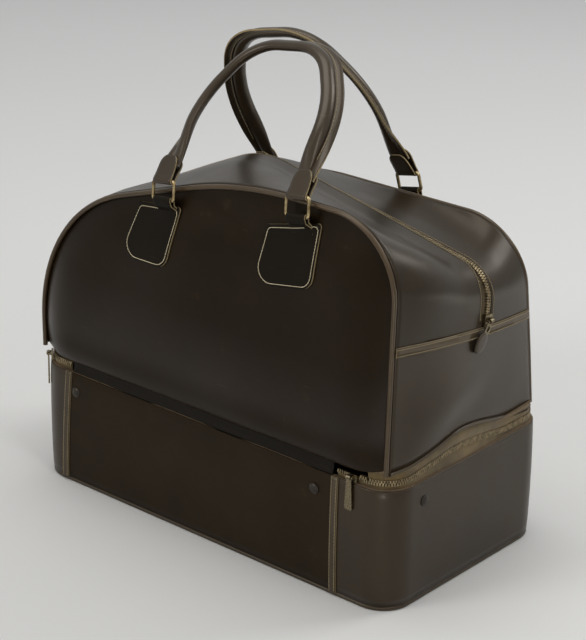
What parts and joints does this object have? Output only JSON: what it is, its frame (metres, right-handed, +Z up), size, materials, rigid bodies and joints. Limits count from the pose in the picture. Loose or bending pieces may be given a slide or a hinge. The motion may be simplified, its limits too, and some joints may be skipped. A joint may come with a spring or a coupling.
{
  "type": "travel bag",
  "caption": "Soft piped travel bag with a zipped top and rolled handles on wire rings, hinged on a stiff zipped lower case for shoes.",
  "frame": {"origin": "centre of the case's flat underside, on the surface it stands on", "axes": "+X along the length to the end that carries the top zip's slider, -Y to the front, +Z up"},
  "size_m": [0.4413, 0.2365, 0.4601],
  "materials": {
    "vinyl": "semi-gloss",
    "board": "matt",
    "lining": "matt",
    "tape": "matt",
    "teeth": "aged",
    "fittings": "satin"
  },
  "bodies": {
    "lower_case": {"case_board": "board", "base_board": "board", "base_cover": "vinyl", "bottom_piping": "vinyl", "front_cover": "vinyl", "wrap_cover": "vinyl", "case_lining": "lining", "left_seam_strip": "vinyl", "right_seam_strip": "vinyl", "case_rivets": "vinyl", "case_zip_tape": "tape", "case_zip_chain": "teeth", "hinge_strip": "vinyl"},
    "upper_bag": {"floor_board": "board", "hinge_flap": "vinyl", "bag_zip_tape": "tape", "bag_zip_chain": "teeth", "front_panel": "vinyl", "rear_panel": "vinyl", "front_gusset": "vinyl", "rear_gusset": "vinyl", "left_end_panel": "vinyl", "right_end_panel": "vinyl", "left_waist_band": "vinyl", "right_waist_band": "vinyl", "front_piping": "vinyl", "rear_piping": "vinyl", "top_zip_front_tape": "tape", "top_zip_rear_tape": "tape", "top_zip_chain": "teeth", "front_left_chape": "vinyl", "front_right_chape": "vinyl", "rear_left_chape": "vinyl", "rear_right_chape": "vinyl"},
    "front_rings": {"front_left_ring": "fittings", "front_right_ring": "fittings"},
    "front_grip": {"front_handle": "vinyl"},
    "rear_rings": {"rear_left_ring": "fittings", "rear_right_ring": "fittings"},
    "rear_grip": {"rear_handle": "vinyl"},
    "top_runner": {"top_slider": "fittings"},
    "top_pull": {"top_pull_link": "fittings", "top_pull_tab": "vinyl"},
    "right_runner": {"right_slider": "fittings"},
    "right_tongue": {"right_pull": "fittings"},
    "left_runner": {"left_slider": "fittings"},
    "left_tongue": {"left_pull": "fittings"}
  },
  "joints": [
    {"name": "case_hinge", "type": "hinge", "parent": "lower_case", "child": "upper_bag", "pos_m": [0, -0.1105, 0.122], "axis": [1, 0, 0], "range_deg": [0, 90]},
    {"name": "front_ring_swing", "type": "hinge", "parent": "upper_bag", "child": "front_rings", "pos_m": [0.03547, -0.1195, 0.33202], "axis": [0.989, 0, 0.1478], "range_deg": [0, 90]},
    {"name": "front_handle_swing", "type": "hinge", "parent": "front_rings", "child": "front_grip", "pos_m": [0.03302, -0.11597, 0.34846], "axis": [0.989, 0, 0.1478], "range_deg": [0, 75]},
    {"name": "rear_ring_swing", "type": "hinge", "parent": "upper_bag", "child": "rear_rings", "pos_m": [-0.00645, 0.08253, 0.28856], "axis": [-0.9781, 0, -0.2079], "range_deg": [0, 90]},
    {"name": "rear_handle_swing", "type": "hinge", "parent": "rear_rings", "child": "rear_grip", "pos_m": [-0.00997, 0.08105, 0.30512], "axis": [-0.9781, 0, -0.2079], "range_deg": [0, 75]},
    {"name": "top_slider_run", "type": "slide", "parent": "upper_bag", "child": "top_runner", "axis": [0.0544, 0, 0.9985], "range_m": [0, 0.01]},
    {"name": "top_pull_flip", "type": "hinge", "parent": "top_runner", "child": "top_pull", "pos_m": [0.22269, 0.008, 0.24268], "axis": [0, -1, 0], "range_deg": [0, 90]},
    {"name": "right_slider_run", "type": "slide", "parent": "lower_case", "child": "right_runner", "axis": [1, 0, 0], "range_m": [0, 0.012]},
    {"name": "right_pull_flip", "type": "hinge", "parent": "right_runner", "child": "right_tongue", "pos_m": [0.17094, -0.11495, 0.122], "axis": [1, 0, 0], "range_deg": [-75, 0]},
    {"name": "left_slider_run", "type": "hinge", "parent": "lower_case", "child": "left_runner", "pos_m": [-0.185, -0.0825, 0.122], "axis": [0, 0, 1], "range_deg": [-35, 0]},
    {"name": "left_pull_flip", "type": "hinge", "parent": "left_runner", "child": "left_tongue", "pos_m": [-0.20795, -0.10545, 0.122], "axis": [0.7071, -0.7071, 0], "range_deg": [-75, 0]}
  ]
}
